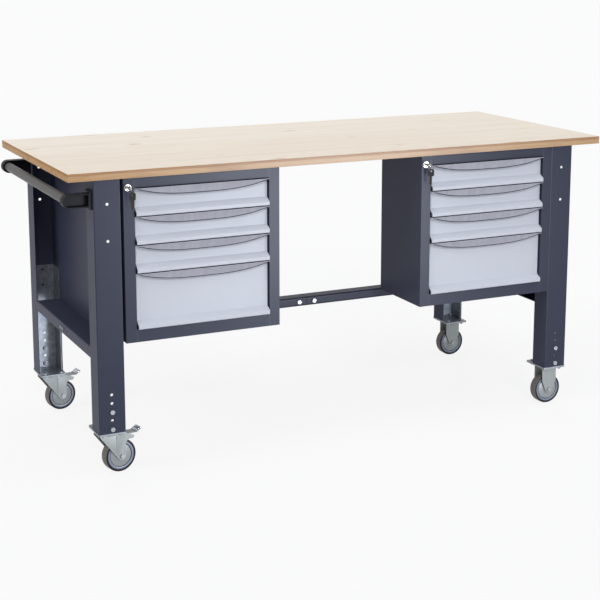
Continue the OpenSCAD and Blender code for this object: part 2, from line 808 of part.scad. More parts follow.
// Brake pedal: an eye on the fork's pin, a cranked arm, the tread plate and the brake shoe
module brake_pedal(e) color(zinc) placed() at_swivel(e) translate([0, -pedal_arm_w / 2, 0]) {
    eye = [pedal_x, pedal_z];
    difference() {
        union() {
            translate([eye[0], 0, eye[1]]) rod_y(pedal_eye_r, pedal_arm_w);
            facing_front(pedal_arm_w) {
                strip([eye, pedal_toe, pedal_tip], pedal_t);
                strip([eye, shoe_tip], pedal_t);
            }
            translate([0, (pedal_arm_w - pedal_w) / 2, 0]) facing_front(pedal_w)
                strip([pedal_toe, pedal_tip], pedal_t);
        }
        translate([eye[0], -over, eye[1]]) rod_y(pedal_pin_r + run_fit, pedal_arm_w + 2 * over);
    }
}

// One cheek of a fixed fork, drawn in X and Z
module fixed_cheek() {
    axle = [0, wheel_r];
    corner = [fixed_w / 2, fixed_taper_z];
    difference() {
        union() {
            polygon([[-corner[0], caster_h - plate_t], [corner[0], caster_h - plate_t], corner,
                touch_point(corner, axle, eye_r, -1), axle,
                touch_point([-corner[0], corner[1]], axle, eye_r, 1), [-corner[0], corner[1]]]);
            translate(axle) circle(eye_r);
        }
        translate(axle) circle(axle_r + axle_fit);
        translate([0, caster_h - plate_t - slot_drop]) round_rect(slot_w, slot_h, slot_h / 2 - slide_gap);
    }
}

module fixed_fork(e) color(zinc) placed() at_caster(1, e) {
    translate([0, 0, caster_h - plate_t]) linear_extrude(plate_t) plate_section();
    cheek_pair() fixed_cheek();
    translate([0, 0, wheel_r]) axle_bolt();
}

// Places a wheel's own drawing, axle along Y, at its axle
module at_axle(s, e) {
    if (s < 0) at_swivel(e) translate([trail, 0, wheel_r]) rotate([90, 0, 0]) children();
    else at_caster(s, e) translate([0, 0, wheel_r]) rotate([90, 0, 0]) children();
}

module wheel_core(s, e) color([0.62, 0.66, 0.74]) placed() at_axle(s, e) rotate_extrude()
    for (m = [0, 1]) mirror([0, m]) {
        bore = axle_r + run_fit;
        translate([bore, 0]) square([hub_r - bore, fork_gap - hub_play]);
        translate([hub_r - over, 0]) square([guard_r - hub_r + over, guard_w / 2]);
        translate([guard_r - over, 0]) square([rim_in_r - guard_r + 2 * over, guard_w / 2 - groove_h]);
        translate([rim_in_r, 0]) square([core_r - rim_in_r, rim_w / 2]);
    }

module tyre(s, e) color([0.20, 0.20, 0.21]) placed() at_axle(s, e) rotate_extrude()
    translate([(core_r + wheel_r) / 2, 0]) rotate(90) bent_outline(tyre_w, wheel_r - core_r, tread_r);

worktop();
leg_outer(-1, -1);  // leg_outer_fl
leg_outer(1, -1);  // leg_outer_fr
leg_outer(-1, 1);  // leg_outer_bl
leg_outer(1, 1);  // leg_outer_br
leg_inner(-1, -1);  // leg_inner_fl
leg_inner(1, -1);  // leg_inner_fr
leg_inner(-1, 1);  // leg_inner_bl
leg_inner(1, 1);  // leg_inner_br
side_rail(-1);  // side_rail_left
side_rail(1);  // side_rail_right
side_panel(-1);  // side_panel_left
side_panel(1);  // side_panel_right
beam_half(-1);  // beam_left
beam_half(1);  // beam_right
beam_splice();
frame_bolts();
caster_bolts();
cabinet(-1);  // cabinet_left
cabinet(1);  // cabinet_right
drawer_runners();
drawer_tray(-1, 0);  // drawer_tray_l1
drawer_tray(-1, 1);  // drawer_tray_l2
drawer_tray(-1, 2);  // drawer_tray_l3
drawer_tray(-1, 3);  // drawer_tray_l4
drawer_tray(1, 0);  // drawer_tray_r1
drawer_tray(1, 1);  // drawer_tray_r2
drawer_tray(1, 2);  // drawer_tray_r3
drawer_tray(1, 3);  // drawer_tray_r4
drawer_front(-1, 0);  // drawer_front_l1
drawer_front(-1, 1);  // drawer_front_l2
drawer_front(-1, 2);  // drawer_front_l3
drawer_front(-1, 3);  // drawer_front_l4
drawer_front(1, 0);  // drawer_front_r1
drawer_front(1, 1);  // drawer_front_r2
drawer_front(1, 2);  // drawer_front_r3
drawer_front(1, 3);  // drawer_front_r4
lock_key(-1);  // lock_key_left
lock_key(1);  // lock_key_right
spare_key(-1);  // spare_key_left
spare_key(1);  // spare_key_right
handle_arm(-1);  // handle_arm_front
handle_arm(1);  // handle_arm_rear
handle_tube();
swivel_plate(-1);  // swivel_plate_fl
swivel_plate(1);  // swivel_plate_bl
swivel_fork(-1);  // swivel_fork_fl
swivel_fork(1);  // swivel_fork_bl
brake_pedal(-1);  // brake_pedal_fl
brake_pedal(1);  // brake_pedal_bl
fixed_fork(-1);  // fixed_fork_fr
fixed_fork(1);  // fixed_fork_br
wheel_core(-1, -1);  // wheel_core_fl
wheel_core(1, -1);  // wheel_core_fr
wheel_core(-1, 1);  // wheel_core_bl
wheel_core(1, 1);  // wheel_core_br
tyre(-1, -1);  // tyre_fl
tyre(1, -1);  // tyre_fr
tyre(-1, 1);  // tyre_bl
tyre(1, 1);  // tyre_br
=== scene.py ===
"""Looks of a mobile work table, built around its packed construction model.

The table has a birch plywood top, painted channel legs with galvanised inner channels, two hanging
drawer cabinets, a push handle, two braked swivel casters and two fixed casters. Each sub-assembly is a
class that takes its places from the model's nodes, makes the pieces that need a finer shape and dresses the
rest.
"""
import logging
import math
from dataclasses import dataclass
from enum import Enum
from functools import cache
from typing import Callable, Mapping, Sequence, Union

import bmesh
import bpy
from bmesh.types import BMesh, BMVert
from bpy.types import ID, Material, Node, NodeOutputs, NodeSocket, NodeTree, Object
from mathutils import Matrix, Vector


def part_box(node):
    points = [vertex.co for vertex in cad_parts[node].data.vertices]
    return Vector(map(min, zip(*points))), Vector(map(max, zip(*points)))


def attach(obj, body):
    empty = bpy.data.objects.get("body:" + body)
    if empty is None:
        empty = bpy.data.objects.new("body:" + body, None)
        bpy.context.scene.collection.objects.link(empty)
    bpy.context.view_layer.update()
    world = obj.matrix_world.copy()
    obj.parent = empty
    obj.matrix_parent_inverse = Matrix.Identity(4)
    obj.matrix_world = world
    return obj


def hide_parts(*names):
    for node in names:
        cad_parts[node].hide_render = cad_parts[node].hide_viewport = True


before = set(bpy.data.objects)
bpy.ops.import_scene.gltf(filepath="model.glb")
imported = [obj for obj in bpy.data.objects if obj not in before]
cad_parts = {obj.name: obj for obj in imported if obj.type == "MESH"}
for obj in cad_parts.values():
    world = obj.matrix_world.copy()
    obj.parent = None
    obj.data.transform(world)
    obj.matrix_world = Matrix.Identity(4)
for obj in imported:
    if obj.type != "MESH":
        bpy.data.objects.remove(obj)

log = logging.getLogger("work_table")

Triple = tuple[float, float, float]
Colour = Triple
LinearColour = tuple[float, float, float, float]
Pair = tuple[float, float]
Profile = Sequence[Pair]
FacePick = Callable[[Vector, Vector], int]
RingPick = Callable[[float, float, float], int]
Feed = Union[float, Sequence[float], NodeSocket]

MM = 0.001
BODY_FRAME = "frame"
CORNERS = ("fl", "fr", "bl", "br")
FRONT_CORNERS = ("fl", "fr")
DRAWERS = (1, 2, 3, 4)

# Facets of a whole turn: a wheel, a lock ring, a plug and a screw head.
WHEEL_STEPS, RING_STEPS, PLUG_STEPS, SCREW_STEPS = 96, 48, 32, 24
# Edges between faces that meet at more than ROUND_ANGLE are rounded, and the rounded copies of
# construction nodes are shaded smooth up to COPY_SMOOTH, other pieces up to PIECE_SMOOTH.
ROUND_ANGLE, COPY_SMOOTH, PIECE_SMOOTH = math.radians(30), math.radians(14), math.radians(32)
FLAT_ANGLE = math.radians(0.5)
AXIS_X, AXIS_Y, AXIS_Z = (Vector(axis).freeze() for axis in Matrix.Identity(3))
MERGE_GAP = 1e-6

COLOUR, FLOAT, VECTOR = "NodeSocketColor", "NodeSocketFloat", "NodeSocketVector"
# Numbers of a colour mix node's two inputs and its output.
MIX_FIRST, MIX_SECOND, MIX_RESULT = 6, 7, 2


def linear(colour: Colour) -> LinearColour:
    """Turns a colour as it looks on a screen into the linear colour that a shader takes.

    Args:
        colour: Red, green and blue from 0 to 1, as they look.

    Returns:
        The linear colour with an alpha of 1.
    """
    parts = [c / 12.92 if c <= 0.04045 else ((c + 0.055) / 1.055) ** 2.4 for c in colour]
    return (parts[0], parts[1], parts[2], 1.0)


class Graph:
    """Adds nodes to one shader tree and joins them."""

    def __init__(self, tree: NodeTree) -> None:
        """Takes the tree that the nodes go into."""
        self.tree = tree

    def feed(self, target: NodeSocket, value: Feed) -> None:
        """Gives an input a fixed value or joins an output to it.

        Args:
            target: The input.
            value: Its value, or the output that drives it.
        """
        if isinstance(value, NodeSocket):
            self.tree.links.new(value, target)
        else:
            target.default_value = value

    def add(self, kind: str, inputs: Mapping[int | str, Feed] | None = None, **settings: object) -> Node:
        """Adds a node.

        Args:
            kind: The node's type.
            inputs: What its inputs get, by their names or numbers.
            settings: Properties of the node, set by name.

        Returns:
            The new node.
        """
        node = self.tree.nodes.new(kind)
        for name, value in settings.items():
            setattr(node, name, value)
        for key, value in (inputs or {}).items():
            self.feed(node.inputs[key], value)
        return node

    def math(self, operation: str, *values: Feed) -> NodeSocket:
        """Adds a maths node that gets the values in order, and gives its result."""
        return self.add("ShaderNodeMath", dict(enumerate(values)), operation=operation).outputs[0]

    def mix(self, share: Feed, first: Feed, second: Feed, blend: str = "MIX") -> NodeSocket:
        """Mixes two colours.

        Args:
            share: How much of the second colour is taken.
            first: The first colour.
            second: The second colour.
            blend: How they are mixed.

        Returns:
            The mixed colour.
        """
        node = self.add("ShaderNodeMix", {"Factor": share}, data_type="RGBA", blend_type=blend)
        self.feed(node.inputs[MIX_FIRST], first)
        self.feed(node.inputs[MIX_SECOND], second)
        return node.outputs[MIX_RESULT]

    def spread(self, value: Feed, low: float, high: float) -> NodeSocket:
        """Stretches the values between two limits to 0 to 1."""
        node = self.add("ShaderNodeMapRange", {"Value": value, "From Min": low, "From Max": high})
        return node.outputs["Result"]

    def noise(self, place: Feed, scale: Feed, detail: float, wander: float = 0.0) -> NodeSocket:
        """Adds soft noise at a place, with its repeats per metre and how far it is distorted."""
        node = self.add("ShaderNodeTexNoise",
                        {"Vector": place, "Scale": scale, "Detail": detail, "Distortion": wander})
        return node.outputs["Fac"]

    def stretched(self, place: Feed, by: Feed) -> NodeSocket:
        """Multiplies a place by a factor for each direction."""
        return self.add("ShaderNodeVectorMath", {0: place, 1: by}, operation="MULTIPLY").outputs[0]

    def bump(self, height: Feed, strength: float, depth: float) -> NodeSocket:
        """Turns a height from 0 to 1, of a depth in metres, into a normal."""
        node = self.add("ShaderNodeBump", {"Strength": strength, "Distance": depth, "Height": height})
        return node.outputs["Normal"]

    def looked_at(self) -> NodeSocket:
        """Gives 1 to rays from the camera, from reflections and through glass, and 0 to the light's own."""
        path = self.add("ShaderNodeLightPath").outputs
        direct = self.math("MAXIMUM", path["Is Camera Ray"], path["Is Glossy Ray"])
        return self.math("MAXIMUM", direct, path["Is Transmission Ray"])


class GroupGraph(Graph):
    """A shader node group with named inputs and outputs."""

    def __init__(self, name: str, inputs: Mapping[str, str], outputs: Mapping[str, str]) -> None:
        """Makes the empty group.

        Args:
            name: The group's name.
            inputs: The kinds of its inputs, by name.
            outputs: The kinds of its outputs, by name.
        """
        super().__init__(bpy.data.node_groups.new(name, "ShaderNodeTree"))
        for direction, sockets in (("INPUT", inputs), ("OUTPUT", outputs)):
            for socket, kind in sockets.items():
                self.tree.interface.new_socket(name=socket, in_out=direction, socket_type=kind)
        self.taken = self.add("NodeGroupInput").outputs
        self.given = self.add("NodeGroupOutput").inputs


class MaterialGraph(Graph):
    """A new material whose nodes end in one surface shader."""

    def __init__(self, name: str) -> None:
        """Makes the material and finds the point in the object's own coordinates.

        Args:
            name: The material's name.
        """
        self.material = bpy.data.materials.new(name)
        self.material.use_nodes = True
        super().__init__(self.material.node_tree)
        self.place = self.add("ShaderNodeTexCoord").outputs["Object"]

    def finish(self, inputs: Mapping[str, Feed]) -> Material:
        """Feeds the surface shader.

        Args:
            inputs: What its inputs get, by name.

        Returns:
            The finished material.
        """
        shader = self.tree.nodes["Principled BSDF"]
        for name, value in inputs.items():
            self.feed(shader.inputs[name], value)
        return self.material


@cache
def coat_group() -> NodeTree:
    """Builds the group for painted, plated and moulded surfaces.

    Returns:
        A group that shades a base colour in wide soft patches and adds a fine speckle, and that puts out
        the colour, the roughness and the height of the coat's texture.
    """
    graph = GroupGraph(
        "coat_texture",
        {"Vector": VECTOR, "Base": COLOUR, "Patch": COLOUR, "Patch Amount": FLOAT, "Patch Scale": FLOAT,
         "Grain Scale": FLOAT, "Grain Amount": FLOAT, "Roughness": FLOAT, "Roughness Spread": FLOAT},
        {"Color": COLOUR, "Roughness": FLOAT, "Height": FLOAT})
    taken, given = graph.taken, graph.given
    middle = 0.5
    wide = graph.noise(taken["Vector"], taken["Patch Scale"], detail=3.0)
    fine = graph.noise(taken["Vector"], taken["Grain Scale"], detail=2.0)
    share = graph.math("MULTIPLY", graph.spread(wide, low=0.35, high=0.65), taken["Patch Amount"])
    patched = graph.mix(share, taken["Base"], taken["Patch"])
    speckle = graph.math("MULTIPLY_ADD", graph.math("SUBTRACT", fine, middle), taken["Grain Amount"], 1.0)
    scaled = graph.add("ShaderNodeVectorMath", operation="SCALE")
    graph.feed(scaled.inputs[0], patched)
    graph.feed(scaled.inputs["Scale"], speckle)
    rough = graph.math("MULTIPLY_ADD", graph.math("SUBTRACT", wide, middle), taken["Roughness Spread"],
                       taken["Roughness"])
    graph.feed(given["Color"], scaled.outputs["Vector"])
    graph.feed(given["Roughness"], rough)
    graph.feed(given["Height"], fine)
    return graph.tree


@cache
def grain_group() -> NodeTree:
    """Builds the group for wood grain that runs along X.

    Returns:
        A group that puts out three masks: fine pores, wide growth figures and a few short brown flecks.
    """
    graph = GroupGraph(
        "wood_grain",
        {"Vector": VECTOR, "Pore Scale": FLOAT, "Figure Scale": FLOAT, "Stretch": FLOAT,
         "Fleck Scale": FLOAT},
        {"Pores": FLOAT, "Figure": FLOAT, "Flecks": FLOAT})
    taken, given = graph.taken, graph.given
    stretch = graph.add("ShaderNodeCombineXYZ", {"X": taken["Stretch"], "Y": 1.0, "Z": 1.0})
    drawn = graph.stretched(taken["Vector"], stretch.outputs[0])
    for mask, scale, detail, wander in (("Pores", "Pore Scale", 4.0, 0.0),
                                        ("Figure", "Figure Scale", 5.0, 1.2)):
        lines = graph.noise(drawn, taken[scale], detail, wander)
        graph.feed(given[mask], graph.spread(lines, low=0.42, high=0.70))
    short = graph.stretched(taken["Vector"], (0.4, 1.0, 1.0))
    spots = graph.noise(short, taken["Fleck Scale"], detail=1.0)
    graph.feed(given["Flecks"], graph.spread(spots, low=0.72, high=0.80))
    return graph.tree


@dataclass(frozen=True)
class Coat:
    """A painted, plated, moulded or rubber finish.

    The colours are written as they look. Patches and grain have an amount and repeats per metre.
    """

    slot: str
    base: Colour
    patch: Colour
    patches: Pair = (0.3, 2.5)
    grain: Pair = (0.06, 900.0)
    roughness: float = 0.45
    roughness_spread: float = 0.12
    bump: float = 0.05
    bump_depth: float = 0.0002
    metallic: float = 0.0
    specular: float = 0.5
    stretch: Triple = (1.0, 1.0, 1.0)

    def build(self, name: str) -> Material:
        """Makes the material.

        Args:
            name: The material's name.

        Returns:
            The material with its nodes.
        """
        graph = MaterialGraph(name)
        patch_amount, patch_scale = self.patches
        grain_amount, grain_scale = self.grain
        coat = graph.add("ShaderNodeGroup", {
            "Vector": graph.stretched(graph.place, self.stretch), "Base": linear(self.base),
            "Patch": linear(self.patch), "Patch Amount": patch_amount, "Patch Scale": patch_scale,
            "Grain Amount": grain_amount, "Grain Scale": grain_scale, "Roughness": self.roughness,
            "Roughness Spread": self.roughness_spread}, node_tree=coat_group()).outputs
        return graph.finish({
            "Base Color": coat["Color"], "Roughness": coat["Roughness"], "Metallic": self.metallic,
            "Specular IOR Level": self.specular,
            "Normal": graph.bump(coat["Height"], self.bump, self.bump_depth)})


@dataclass(frozen=True)
class Wood:
    """A wood finish: its grain, in repeats per metre, and the bump of its pores."""

    slot: str
    pore_scale: float
    figure_scale: float
    stretch: float
    roughness: float
    bump: float
    bump_depth: float
    fleck_scale: float = 26.0

    def build(self, name: str) -> Material:
        """Makes the material.

        Args:
            name: The material's name.

        Returns:
            The material with its nodes.
        """
        graph = MaterialGraph(name)
        grain = graph.add("ShaderNodeGroup", {
            "Vector": graph.place, "Pore Scale": self.pore_scale, "Figure Scale": self.figure_scale,
            "Stretch": self.stretch, "Fleck Scale": self.fleck_scale}, node_tree=grain_group()).outputs
        return graph.finish({"Base Color": self.colour(graph, grain), "Roughness": self.roughness,
                             "Normal": graph.bump(grain["Pores"], self.bump, self.bump_depth)})

    def colour(self, graph: MaterialGraph, grain: NodeOutputs) -> NodeSocket:
        """Colours the wood, with the masks of its grain; each kind of wood does it in its own way."""
        raise NotImplementedError


@dataclass(frozen=True)
class Veneer(Wood):
    """The lacquered birch face of the plywood."""

    pale: Colour = (0.935, 0.888, 0.825)
    streak: Colour = (0.865, 0.785, 0.685)
    figure: Colour = (0.905, 0.845, 0.770)
    fleck: Colour = (0.800, 0.700, 0.585)
    pore_share: float = 0.35

    def colour(self, graph: MaterialGraph, grain: NodeOutputs) -> NodeSocket:
        """Colours the face by its figures, its pores and its flecks.

        Args:
            graph: The material's nodes.
            grain: The masks of the grain.

        Returns:
            The colour.
        """
        wide = graph.mix(grain["Figure"], linear(self.pale), linear(self.figure))
        lined = graph.mix(graph.math("MULTIPLY", grain["Pores"], self.pore_share), wide, linear(self.streak))
        return graph.mix(grain["Flecks"], lined, linear(self.fleck))


@dataclass(frozen=True)
class PlyEdge(Wood):
    """The cut edge of the plywood, with its layers stacked from low to high.

    A tint shades the layers at a share of the height, and the rim is the tint at both faces.
    """

    plies: int = 17
    ply_contrast: float = 0.22
    light: Colour = (0.750, 0.590, 0.385)
    dark: Colour = (0.645, 0.472, 0.272)
    rim: Colour = (1.0, 0.98, 0.94)
    tints: tuple[tuple[float, Colour], ...] = (
        (0.06, (1.0, 1.0, 1.0)), (0.62, (0.99, 0.985, 0.975)), (0.70, (0.86, 0.80, 0.71)),
        (0.93, (0.88, 0.82, 0.74)))

    def colour(self, graph: MaterialGraph, grain: NodeOutputs) -> NodeSocket:
        """Colours the layers and tints them by height.

        Args:
            graph: The material's nodes.
            grain: The masks of the grain.

        Returns:
            The colour.
        """
        low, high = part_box("worktop")
        place = graph.add("ShaderNodeSeparateXYZ", {0: graph.place}).outputs
        height = graph.spread(place["Z"], low.z, high.z)
        wave = graph.math("SINE", graph.math("MULTIPLY", height, self.plies * math.pi))
        layer = graph.math("MULTIPLY_ADD", wave, self.ply_contrast, grain["Figure"])
        ramp = graph.add("ShaderNodeValToRGB", {"Fac": height})
        for end in ramp.color_ramp.elements:
            end.color = linear(self.rim)
        for share, tint in self.tints:
            ramp.color_ramp.elements.new(share).color = linear(tint)
        plies = graph.mix(layer, linear(self.light), linear(self.dark))
        return graph.mix(1.0, plies, ramp.outputs["Color"], "MULTIPLY")


class Finish(Enum):
    """The finishes of the table, by what makes each."""

    BIRCH_VENEER = Veneer("plywood", 260.0, 14.0, 0.06, roughness=0.42, bump=0.15, bump_depth=0.0001)
    PLY_EDGE = PlyEdge("plywood", 500.0, 60.0, 0.08, roughness=0.6, bump=0.3, bump_depth=0.0002)
    ANTHRACITE = Coat("anthracite_paint", (0.228, 0.241, 0.308), (0.248, 0.261, 0.328), patches=(0.35, 2.5),
                      grain=(0.1, 1100.0), roughness=0.38, bump=0.12, specular=0.06)
    LIGHT_GREY = Coat("light_grey_paint", (0.815, 0.828, 0.872), (0.795, 0.806, 0.85), patches=(0.4, 2.5),
                      grain=(0.02, 1100.0), roughness=0.36, bump=0.08, specular=0.06)
    # The grip's darker grey is partly its own tone and partly painted shade and reflection of a face that
    # tilts down; its long upright patches are painted streaky reflections.
    GRIP = Coat("light_grey_paint", (0.705, 0.71, 0.752), (0.635, 0.643, 0.692), patches=(0.6, 70.0),
                grain=(0.1, 420.0), roughness=0.38, specular=0.08, stretch=(1.0, 1.0, 0.08))
    # Dark finish of the bead under each grip, a trim made dark to paint the shadow line under the flap's edge
    # as well, and of each front's top edge, painted dark as the shadow in the gap above the front.
    GRIP_BEAD = Coat("light_grey_paint", (0.12, 0.13, 0.17), (0.15, 0.16, 0.195), roughness=0.5, specular=0.2)
    SEAM = Coat("anthracite_paint", (0.15, 0.16, 0.205), (0.17, 0.18, 0.22), roughness=0.5)
    GALVANISED = Coat("galvanised_steel", (0.53, 0.548, 0.572), (0.4, 0.424, 0.465), patches=(0.8, 60.0),
                      grain=(0.15, 700.0), roughness=0.4, metallic=0.6)
    ZINC = Coat("zinc_plate", (0.572, 0.586, 0.58), (0.522, 0.538, 0.54), patches=(0.6, 25.0),
                grain=(0.05, 900.0), roughness=0.42, metallic=0.22, specular=0.25)
    FASTENER = Coat("zinc_fasteners", (0.6, 0.605, 0.622), (0.5, 0.508, 0.535), patches=(0.5, 80.0),
                    roughness=0.36, metallic=0.4, specular=0.3)
    NICKEL = Coat("nickel_key", (0.69, 0.685, 0.668), (0.56, 0.555, 0.54), patches=(0.5, 90.0),
                  roughness=0.26, metallic=0.9)
    KEY_BLADE = Coat("key_bow_plastic", (0.25, 0.215, 0.185), (0.19, 0.165, 0.15), patches=(0.6, 90.0),
                     roughness=0.3, metallic=0.6)
    PLUG = Coat("anthracite_paint", (0.93, 0.93, 0.93), (0.9, 0.9, 0.905))
    KEY_BOW = Coat("key_bow_plastic", (0.07, 0.07, 0.075), (0.11, 0.11, 0.115), grain=(0.1, 900.0),
                   roughness=0.35)
    HANDLE_ARM = Coat("black_plastic", (0.07, 0.072, 0.094), (0.092, 0.095, 0.118), patches=(0.4, 12.0),
                      grain=(0.12, 1500.0), roughness=0.42, bump=0.25, specular=0.06)
    TUBE = Coat("tube_coating", (0.35, 0.342, 0.338), (0.38, 0.37, 0.362), patches=(0.4, 8.0), roughness=0.36,
                specular=0.06)
    WHEEL_RIM = Coat("wheel_plastic", (0.45, 0.487, 0.575), (0.422, 0.458, 0.545), grain=(0.04, 900.0),
                     roughness=0.4)
    WHEEL_DISC = Coat("wheel_plastic", (0.62, 0.638, 0.645), (0.585, 0.605, 0.618), grain=(0.04, 900.0),
                      roughness=0.36)
    # Painted shade: the groove between the wheel's disc and its rim is made dark for the shadow in it.
    WHEEL_GROOVE = Coat("wheel_plastic", (0.27, 0.285, 0.34), (0.3, 0.315, 0.37), roughness=0.5, specular=0.2)
    # Painted shade: the race ring under a swivel plate is made dark for the shadow in the gap between the
    # plate and the fork's crown.
    RACE = Coat("zinc_plate", (0.23, 0.235, 0.26), (0.33, 0.335, 0.36), patches=(0.5, 60.0), roughness=0.35,
                metallic=0.5)
    TREAD_PAD = Coat("zinc_plate", (0.72, 0.735, 0.77), (0.66, 0.68, 0.72), patches=(0.6, 40.0),
                     roughness=0.2, metallic=1.0)
    TREAD = Coat("tyre_rubber", (0.37, 0.348, 0.335), (0.41, 0.385, 0.37), patches=(0.6, 30.0),
                 grain=(0.12, 600.0), roughness=0.62, bump=0.3)
    SIDEWALL = Coat("tyre_rubber", (0.12, 0.12, 0.15), (0.15, 0.15, 0.175), grain=(0.1, 700.0), roughness=0.5,
                    specular=0.08)

    @cache
    def material(self) -> Material:
        """The finish's material, built when it is first asked for."""
        return self.value.build(self.name.lower())


def dress(finish: Finish, *nodes: str) -> None:
    """Gives construction nodes one finish all over.

    Args:
        finish: The finish.
        nodes: The nodes' names.
    """
    for node in nodes:
        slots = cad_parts[node].data.materials
        slots.clear()
        slots.append(finish.material())


def link_object(name: str, data: ID) -> Object:
    """Puts a new object into the scene.

    Args:
        name: Its name.
        data: Its mesh, camera or lamp.

    Returns:
        The object.
    """
    made = bpy.data.objects.new(name, data)
    bpy.context.scene.collection.objects.link(made)
    return made


@dataclass
class Piece:
    """A new mesh piece that rides on a body.

    The numbers of its faces count along the finishes.
    """

    name: str
    body: str
    finishes: Sequence[Finish]
    replaces: tuple[str, ...] = ()
    smooth_angle: float = PIECE_SMOOTH

    def finish(self, work: BMesh) -> None:
        """Turns a bmesh into the piece.

        Args:
            work: The finished bmesh, which is freed.
        """
        mesh = bpy.data.meshes.new(self.name)
        work.to_mesh(mesh)
        work.free()
        for finish in self.finishes:
            mesh.materials.append(finish.material())
        mesh.shade_smooth()
        mesh.set_sharp_from_angle(angle=self.smooth_angle)
        piece = link_object(self.name, mesh)
        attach(piece, self.body)
        if self.replaces:
            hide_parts(*self.replaces)
        log.info("%s: %d faces on %s", self.name, len(mesh.polygons), self.body)


def middle_of(node: str) -> Vector:
    """The middle of a construction node's box."""
    low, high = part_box(node)
    return (low + high) / 2


def add_box(work: BMesh, low: Vector, high: Vector, place: Matrix | None = None) -> None:
    """Adds a box to a bmesh.

    Args:
        work: The bmesh.
        low: The box's lowest corner, in its drawing frame.
        high: Its highest corner there.
        place: The drawing frame's place, or none where it is the object's own.
    """
    made = bmesh.ops.create_cube(work, size=1.0)["verts"]
    bmesh.ops.scale(work, vec=high - low, verts=made)
    bmesh.ops.translate(work, vec=(low + high) / 2, verts=made)
    if place is not None:
        bmesh.ops.transform(work, matrix=place, verts=made)


def soften(work: BMesh, width: float, segments: int = 2, clamp: bool = True) -> None:
    """Rounds the sharp edges of a bmesh.

    Args:
        work: The bmesh.
        width: Offset of the rounding.
        segments: How many strips each rounding has.
        clamp: Whether short edges narrow every rounding.
    """
    sharp = [e for e in work.edges if e.is_manifold and e.calc_face_angle(0.0) > ROUND_ANGLE]
    bmesh.ops.bevel(work, geom=sharp, offset=width, offset_type="OFFSET", segments=segments, profile=0.5,
                    affect="EDGES", material=-1, clamp_overlap=clamp)


def node_bmesh(node: str) -> BMesh:
    """Copies a construction node's mesh, joined up and with its flat faces made whole.

    Args:
        node: The node's name.

    Returns:
        The copy.
    """
    work = bmesh.new()
    work.from_mesh(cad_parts[node].data)
    bmesh.ops.remove_doubles(work, verts=work.verts, dist=MERGE_GAP)
    bmesh.ops.dissolve_limit(work, angle_limit=FLAT_ANGLE, verts=work.verts, edges=work.edges)
    return work


def softened_copy(node: str, body: str, finishes: Sequence[Finish], width: float,
                  pick: FacePick = lambda middle, normal: 0, segments: int = 2, clamp: bool = True) -> None:
    """Replaces a node by a copy of itself whose edges are rounded.

    Args:
        node: The node that is copied.
        body: The body that carries it.
        finishes: The copy's finishes.
        width: Offset of the rounding.
        pick: Gives the number of the finish for a face's middle and normal.
        segments: How many strips each rounding has.
        clamp: Whether short edges narrow every rounding.
    """
    work = node_bmesh(node)
    work.normal_update()
    for face in work.faces:
        face.material_index = pick(face.calc_center_median(), face.normal)
    soften(work, width, segments, clamp)
    Piece(f"{node}_look", body, finishes, (node,), COPY_SMOOTH).finish(work)


def prism_bmesh(section: Profile, start: float, end: float) -> BMesh:
    """Draws a section out along X.

    Args:
        section: The section's corners as Y and Z.
        start: Its first X.
        end: Its last X.

    Returns:
        The closed bmesh.
    """
    work = bmesh.new()
    face = work.faces.new([work.verts.new((start, y, z)) for y, z in section])
    drawn = bmesh.ops.extrude_face_region(work, geom=[face])
    moved = [item for item in drawn["geom"] if isinstance(item, BMVert)]
    bmesh.ops.translate(work, vec=Vector((end - start, 0.0, 0.0)), verts=moved)
    bmesh.ops.recalc_face_normals(work, faces=work.faces)
    return work


def spun_bmesh(profile: Profile, centre: Vector, axle: Vector, steps: int) -> BMesh:
    """Spins a closed profile once round an axle that lies level.

    Args:
        profile: Its corners as a radius and an offset along the axle, in millimetres.
        centre: The middle of the axle.
        axle: The axle's direction.
        steps: How many facets the turn has.

    Returns:
        The closed bmesh with its faces outwards.
    """
    work = bmesh.new()
    verts = [work.verts.new(centre + AXIS_Z * (radius * MM) + axle * (offset * MM))
             for radius, offset in profile]
    edges = [work.edges.new((verts[k - 1], verts[k])) for k in range(len(verts))]
    bmesh.ops.spin(work, geom=verts + edges, cent=centre, axis=axle, angle=math.tau, steps=steps,
                   use_merge=True)
    bmesh.ops.remove_doubles(work, verts=work.verts, dist=MERGE_GAP)
    bmesh.ops.recalc_face_normals(work, faces=work.faces)
    return work


def both_sides(half: Profile) -> Profile:
    """Adds to half of a wheel's profile its mirror image, from the rim back to the hub."""
    return [*half, *((radius, -offset) for radius, offset in reversed(half))]


def bead_bmesh(path: Sequence[Vector], across: Vector, radius: float, sides: int) -> BMesh:
    """Lays a round bead along a path that stays in one plane.

    Args:
        path: The points along its middle.
        across: The plane's normal.
        radius: The bead's radius.
        sides: How many facets its section has.

    Returns:
        The closed bmesh.
    """
    work = bmesh.new()
    rings = []
    for k, point in enumerate(path):
        ahead = (path[min(k + 1, len(path) - 1)] - path[max(k - 1, 0)]).normalized()
        side = ahead.cross(across).normalized()
        rings.append([work.verts.new(point + radius * (math.cos(turn) * across + math.sin(turn) * side))
                      for turn in (math.tau * n / sides for n in range(sides))])
    for near, far in zip(rings, rings[1:]):
        for n in range(sides):
            work.faces.new((near[n - 1], near[n], far[n], far[n - 1]))
    work.faces.new(rings[0])
    work.faces.new(rings[-1])
    bmesh.ops.recalc_face_normals(work, faces=work.faces)
    return work


